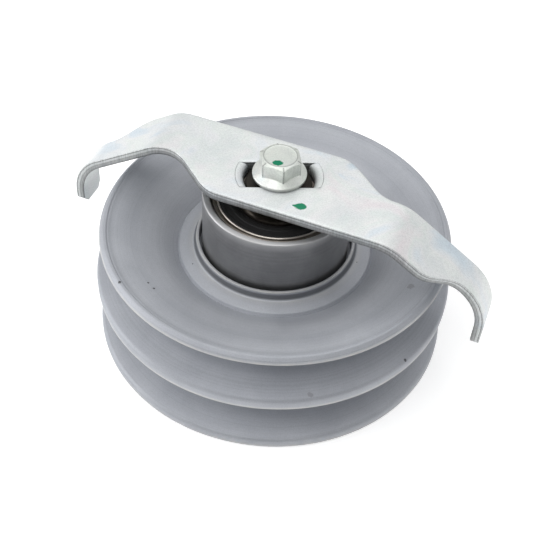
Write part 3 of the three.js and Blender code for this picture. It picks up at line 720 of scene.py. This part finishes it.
# One arm: for every step along the path, points across from the front edge to the back edge. Near the tip
# the edges draw in to leave the two cut corners. turn = -1 gives the other arm, half a turn round.
def armGrid(turn, drop, across):
    s = keeper
    x, z, angle = armPath(drop)
    back, front = backEdge(x), -backEdge(-x)
    left = np.where(angle > 1.4, z + drop, 99)
    back = back - s["innerTip"][0] * np.clip(1 - left / s["innerTip"][1], 0, 1)
    front = front + s["outerTip"][0] * np.clip(1 - left / s["outerTip"][1], 0, 1)
    t = np.linspace(0, 1, across)[None, :]
    y = front[:, None] * (1 - t) + back[:, None] * t
    grid = np.stack([turn * (x[:, None] + 0 * t), turn * y, z[:, None] + 0 * t], -1)
    normal = np.stack([turn * np.sin(angle)[:, None] + 0 * t, 0 * y, np.cos(angle)[:, None] + 0 * t], -1)
    return grid.reshape(-1, 3), normal.reshape(-1, 3), gridFaces(len(x), across)


# The centre of the plate: straight lines from the hole's edge out to a rectangle. The hole's edge is an arc
# at each end and a flat at each side, and each pairs with one side of the rectangle.
def centreGrid(across):
    s = keeper
    rings = s["aroundHole"]
    root = s["hole"] + s["rollWide"]
    corner = math.asin(s["holeHalf"] / root)
    t, u = np.linspace(-1, 1, across), np.linspace(-1, 1, 29)
    endArc = np.stack([root * np.cos(corner * t), root * np.sin(corner * t)], -1)
    flat = np.stack([-root * math.cos(corner) * u, s["holeHalf"] + 0 * u], -1)
    inner = np.concatenate([endArc[:-1], flat[:-1], -endArc[:-1], -flat[:-1]])
    turn = math.radians(s["holeTurn"])
    inner = inner @ np.array([[math.cos(turn), math.sin(turn)], [-math.sin(turn), math.cos(turn)]])
    front, back = -backEdge(-s["centre"]), backEdge(s["centre"])
    side = np.stack([s["centre"] + 0 * t, front + (back - front) * (t + 1) / 2], -1)
    edge = np.stack([-s["centre"] * u, backEdge(-s["centre"] * u)], -1)
    outer = np.concatenate([side[:-1], edge[:-1], -side[:-1], -edge[:-1]])
    w = np.linspace(0, 1, rings)[:, None, None]
    flatGrid = inner * (1 - w) + outer * w
    grid = np.concatenate([flatGrid, np.zeros(flatGrid.shape[:2] + (1,))], -1).reshape(-1, 3)
    return grid, np.tile([0.0, 0.0, 1.0], (len(grid), 1)), gridFaces(rings, len(outer), False, True)


# Turns every face the way its points' normals look.
def facedOut(points, normals, faces):
    a, b, d = points[faces[:, 0]], points[faces[:, 1]], points[faces[:, 3]]
    wrong = np.einsum("ij,ij->i", np.cross(b - a, d - a), normals[faces[:, 0]]) < 0
    return np.where(wrong[:, None], faces[:, ::-1], faces)


# The whole sheet: its upper side, the same side a thickness down along the normals, and a cut edge between.
def keeperSheet():
    s = keeper
    across = s["across"]
    points, normals, faces, count = [], [], [], 0
    for grid, normal, quads in (centreGrid(across), armGrid(1, s["longDrop"], across),
                                armGrid(-1, s["shortDrop"], across)):
        points.append(grid)
        normals.append(normal)
        faces.append(facedOut(grid, normal, quads) + count)
        count += len(grid)
    points, normals, faces = np.concatenate(points), np.concatenate(normals), np.concatenate(faces)
    # points of two grids that share a place become one
    _, first, same = np.unique(np.round(points, 2), axis=0, return_index=True, return_inverse=True)
    points, normals, faces = points[first], normals[first], same.reshape(-1)[faces]
    count = len(points)
    # an edge used by one face only is on the outline; it runs with the sheet on its left
    pairs = np.stack([faces, np.roll(faces, -1, 1)], -1).reshape(-1, 2)
    code = pairs[:, 0] * count + pairs[:, 1]
    mirror = pairs[:, 1] * count + pairs[:, 0]
    rim = pairs[~np.isin(code, mirror)]
    following = np.full(count, -1)
    leading = np.full(count, -1)
    following[rim[:, 0]], leading[rim[:, 1]] = rim[:, 1], rim[:, 0]
    ring = rim[:, 0]
    here, ahead, behind = points[ring], points[following[ring]], points[leading[ring]]

    def sideways(step, normal):
        out = np.cross(step, normal)
        return out / np.linalg.norm(out, axis=1)[:, None]

    outA, outB = sideways(ahead - here, normals[ring]), sideways(here - behind, normals[ring])
    out = outA + outB
    out = out / np.maximum((out * outA).sum(1), 0.4)[:, None]
    # rows down the cut edge: p = edge - depth n - inset out, rounded at both faces
    r, t = s["edgeRound"], s["sheet"]
    rows = [(0.3 * r, 0.3 * r), (r, 0), (0.22 * t, 0), (0.4 * t, 0), (0.6 * t, 0), (0.78 * t, 0),
            (t - r, 0), (t - 0.3 * r, 0.3 * r)]
    upper, lower = points.copy(), points - t * normals
    upper[ring] = here - r * out
    lower[ring] = here - t * normals[ring] - r * out
    cut = [here - depth * normals[ring] - inset * out for depth, inset in rows]
    allPoints = np.concatenate([upper, lower] + cut) + np.array([0, 0, plateTop])
    size = len(ring)
    slotOf = np.full(count, -1)
    slotOf[ring] = np.arange(size)
    levels = [ring] + [2 * count + k * size + np.arange(size) for k in range(len(cut))] + [ring + count]
    nextSlot = slotOf[following[ring]]
    walls = [np.stack([above, below, below[nextSlot], above[nextSlot]], -1)
             for above, below in zip(levels[:-1], levels[1:])]
    allFaces = np.concatenate([faces, faces[:, ::-1] + count] + walls)
    depth = np.concatenate([np.zeros(count), np.ones(count)] + [np.full(size, row[0] / t) for row in rows])
    piece = addPiece("keeper_sheet", allPoints, allFaces, zincSheet, "spindle_and_keeper",
                     stands=["belt_keeper"], edge=depth, slot="zinc_sheet", sharp=50)
    piece.data.materials.append(shearedZinc)
    index = np.zeros(len(allFaces), int)
    index[2 * len(faces):] = 1
    piece.data.polygons.foreach_set("material_index", index)
    return piece


# The two rolled-down ends of the centre hole. Each outline point keeps its radius while it runs straight
# across the lanced strip: x = sqrt(r^2 - y^2).
def rolledEnds():
    s = keeper
    root = s["hole"] + s["rollWide"]
    turn = np.linspace(math.pi / 2, math.pi, 11)
    low = plateTop - s["sheet"] - s["rollDrop"]
    sink = s["rollHigh"] * (np.sin(turn) - 1)
    rolled = np.stack([root + s["rollWide"] * np.cos(turn), plateTop + sink], -1)
    foot = [(s["hole"], low + 0.4), (s["hole"] + 0.4, low), (s["hole"] + s["rollWall"], low),
            (root, plateTop - s["sheet"])]
    outline = np.concatenate([rolled, foot])
    y = np.linspace(-1, 1, 25) * (s["holeHalf"] - s["lance"])
    r, z = outline[:, 0][:, None], outline[:, 1][:, None]
    x = np.sqrt(r ** 2 - y[None, :] ** 2)
    angle = math.radians(s["holeTurn"])
    cos, sin = math.cos(angle), math.sin(angle)
    spin = np.array([[cos, sin, 0], [-sin, cos, 0], [0, 0, 1]])
    count, columns = len(outline), len(y)
    for side, label in ((1, "a"), (-1, "b")):
        flat = np.stack([side * x, side * (y[None, :] + 0 * r), z + 0 * y[None, :]], -1).reshape(-1, 3)
        faces = gridFaces(count, columns, True, False).tolist()
        faces.append([i * columns for i in range(count)])
        faces.append([i * columns + columns - 1 for i in range(count)][::-1])
        piece = addPiece("keeper_rolled_end_" + label, flat @ spin, faces, zincSheet, "spindle_and_keeper",
                         slot="zinc_sheet", sharp=50)
        work = bmesh.new()
        work.from_mesh(piece.data)
        bmesh.ops.recalc_face_normals(work, faces=work.faces)
        work.to_mesh(piece.data)
        work.free()


keeperSheet()
rolledEnds()
print("keeper bent")


# The crown's radii go with its drops below the top, and the face's radii with the depths of its dish.
bolt = dict(flange=9.2, rimThick=1.5, flats=13, head=boltTop - plateTop, thread=8, length=30, turn=30,
            pitch=1.25, corner=0.1, threadDepth=0.62, runOut=0.7, plainEnd=4,
            crown=[9.6, 7.75, 6.15, 5.85, 5.7], crownDrop=[0.95, 0.16, 0.05, 0],
            face=[5.5, 5.35, 5.1, 4.5, 3.4, 2.2, 1, 0.02],
            faceDrop=[0, 0.05, 0.08, 0.08, 0.08, 0.08, 0.08, 0.08], crownEdge=5.6)


# The head as one grid of angle and height. At each height the radius is the hexagon's, held inside the
# crown's cone at the top and outside the flange's cone at the bottom.
def boltHead():
    s = bolt
    angle = np.linspace(0, 2 * math.pi, 360, endpoint=False)
    sector = (angle - math.radians(s["turn"]) + math.pi / 6) % (math.pi / 3) - math.pi / 6
    corner = math.pi / 6 - np.abs(sector)
    hexagon = s["flats"] / 2 / np.cos(sector)
    hexagon = hexagon - s["corner"] * np.exp(-(corner / 0.025) ** 2)
    high, thick, flange = s["head"], s["rimThick"], s["flange"]
    z = np.concatenate([[0, 0.12, 0.35], np.linspace(0.5, thick - 0.35, 3), [thick - 0.12, thick + 0.02],
                        np.linspace(thick + 0.12, high - 1.9, 34), np.linspace(high - 1.85, high, 30)])
    heights = [0, 0.12, 0.35, thick - 0.35, thick - 0.12, thick + 0.02, 3.1, 3.6, high]
    radii = [flange - 0.6, flange - 0.2, flange, flange, flange - 0.15, flange - 0.45, 6.6, 4.6, 0]
    rimRadius = np.interp(z, heights, radii)
    crown = np.interp(z, [0] + [high - drop for drop in s["crownDrop"]], s["crown"])
    radius = np.maximum(np.minimum(hexagon[None, :], crown[:, None]), rimRadius[:, None])
    # the seat below, then the sides, then the dished top, each row a radius and a height
    seat, full = np.array([0.02, 4.2]), np.ones(len(angle))
    radius = np.concatenate([np.outer(seat, full), radius, np.outer(s["face"], full)])
    level = np.concatenate([[0.6, 0], z, high - np.array(s["faceDrop"])])[:, None]
    # painted shade lines on the hex corners and round the crown's edge, and painted contact shadow on the
    # flange's rim at its foot
    onHex = (radius > 5.9) & (radius < 7.5) & (level > 2)
    onCrown = (np.abs(radius - s["crownEdge"]) < 0.14) & (level > high - 0.3)
    paintedShade = 0.75 * onHex * np.exp(-(corner / 0.035) ** 2) + 0.55 * onCrown
    paintedShade = np.maximum(paintedShade, 0.6 * np.clip((1.1 - level) / 0.3, 0, 1))
    points = np.stack([radius * np.cos(angle), radius * np.sin(angle), level + 0 * angle], -1).reshape(-1, 3)
    points = points + np.array([0, 0, plateTop + 0.01])
    faces = gridFaces(len(radius), len(angle), False, True)[:, ::-1]
    return addPiece("flange_bolt_head", points, faces, zincBolt, "spindle_and_keeper",
                    stands=["flange_bolt"], edge=paintedShade.reshape(-1), slot="zinc_fastener", sharp=38)


# The thread: a triangular wave on the shank's radius, one pitch up for each turn, plain under the head.
def boltThread():
    s = bolt
    columns, rowsPerPitch = 32, 6
    height = s["length"] - 0.8
    rows = int(height / s["pitch"] * rowsPerPitch)
    z = np.linspace(0, height, rows)[:, None]
    angle = np.linspace(0, 2 * math.pi, columns, endpoint=False)[None, :]
    wave = np.abs(((z / s["pitch"] - angle / (2 * math.pi)) % 1) * 2 - 1)
    threaded = z <= height - s["plainEnd"]
    runOut = s["runOut"] * (1 - np.clip(z, 0, 1))
    radius = s["thread"] / 2 - 0.02 - s["threadDepth"] * wave * threaded - runOut
    points = np.stack([radius * np.cos(angle), radius * np.sin(angle), z + 0 * angle], -1).reshape(-1, 3)
    points[:, 2] += plateTop - s["length"]
    faces = gridFaces(rows, columns, False, True)[:, ::-1].tolist()
    faces.append(list(range(columns))[::-1])
    faces.append(list(range((rows - 1) * columns, rows * columns)))
    return addPiece("flange_bolt_thread", points, faces, zincBolt, "spindle_and_keeper",
                    slot="zinc_fastener", sharp=60)


boltHead()
boltThread()
print("bolt fitted")


studio = dict(unit=62 * mm, focal=1000, distance=5.7025, tilt=47.1785, roll=4.0272, shift=(-0.0217, 0.3032),
              level=42.4, swing=18.5, sensor=36, frameWidth=560, floor=4, dimLow=12, dim=0.16, room=0.62,
              top=3.6, left=5.0, right=0.5, front=2.6)


def makeFloor():
    size = studio["floor"]
    mesh = bpy.data.meshes.new("floor")
    corners = [(-size, -size, 0), (size, -size, 0), (size, size, 0), (-size, size, 0)]
    mesh.from_pydata(corners, [], [(0, 1, 2, 3)])
    floor = bpy.data.objects.new("floor", mesh)
    bpy.context.collection.objects.link(floor)
    material, tree = newMaterial("acrylic_table_matt_white_lit_from_below")
    finishMaterial(tree, {"Base Color": "#f4f4f4", "Roughness": 0.9, "Emission Color": "#ffffff",
                          "Emission Strength": 0.4})
    mesh.materials.append(material)
    floor.location.z = -0.0004


# Lights are placed as seen from the camera: x to the right, y away from it.
def areaLight(name, place, size, power):
    data = bpy.data.lights.new(name, "AREA")
    data.shape = "RECTANGLE"
    data.size, data.size_y = size
    data.energy = power
    light = bpy.data.objects.new(name, data)
    light.location = Matrix.Rotation(math.radians(studio["swing"]), 3, "Z") @ Vector(place)
    light.rotation_mode = "QUATERNION"
    light.rotation_quaternion = (Vector((0, 0, 0.04)) - light.location).to_track_quat("-Z", "Y")
    bpy.context.collection.objects.link(light)


def makeLights():
    world = bpy.data.worlds.new("studio")
    bpy.context.scene.world = world
    world.use_nodes = True
    tree = world.node_tree
    s = studio
    swing, low = math.radians(s["swing"]), math.radians(s["dimLow"])
    dim = (math.sin(swing) * math.cos(low), -math.cos(swing) * math.cos(low), math.sin(low))
    direction = addNode(tree, "TexCoord", out="Generated")
    facing = addNode(tree, "VectorMath", {0: direction, 1: dim}, "Value", operation="DOT_PRODUCT")
    glow = addNode(tree, "MapRange", {"Value": facing, "From Min": -0.1, "From Max": 0.85,
                                      "To Min": s["room"], "To Max": s["dim"]},
                   interpolation_type="SMOOTHSTEP")
    tree.nodes["Background"].inputs["Color"].default_value = fromHex("#ffffff")
    tree.links.new(glow, tree.nodes["Background"].inputs["Strength"])
    areaLight("top_box", (0, 0.2, 1.0), (1.1, 1.1), s["top"])
    areaLight("left_box", (-0.95, -0.1, 0.34), (0.6, 0.9), s["left"])
    areaLight("right_box", (0.95, 0.2, 0.45), (0.6, 0.8), s["right"])
    areaLight("front_box", (-0.2, -0.5, 0.95), (0.8, 0.4), s["front"])


# The camera looks along -back. The frame is turned by `swing` so that +X follows the keeper.
def makeCamera():
    s = studio
    tilt, roll = math.radians(s["tilt"]), math.radians(s["roll"])
    back = Vector((0, -math.cos(tilt), math.sin(tilt)))
    side, rise = Vector((1, 0, 0)), Vector((0, math.sin(tilt), math.cos(tilt)))
    right = math.cos(roll) * side + math.sin(roll) * rise
    up = -math.sin(roll) * side + math.cos(roll) * rise
    place = s["unit"] * (s["distance"] * back - s["shift"][0] * right - s["shift"][1] * up)
    turn = Matrix.Rotation(math.radians(s["swing"]), 3, "Z")
    data = bpy.data.cameras.new("view")
    data.sensor_width = s["sensor"]
    data.lens = s["focal"] * s["sensor"] / s["frameWidth"]
    camera = bpy.data.objects.new("view", data)
    axes = Matrix((right, up, back)).transposed()
    stand = turn @ place + Vector((0, 0, s["level"] * mm))
    camera.matrix_world = Matrix.Translation(stand) @ (turn @ axes).to_4x4()
    bpy.context.collection.objects.link(camera)
    bpy.context.scene.camera = camera
    data.clip_start, data.clip_end = 0.01, 20


makeFloor()
makeLights()
makeCamera()
bpy.context.scene.view_settings.view_transform = "Standard"
print("studio set")
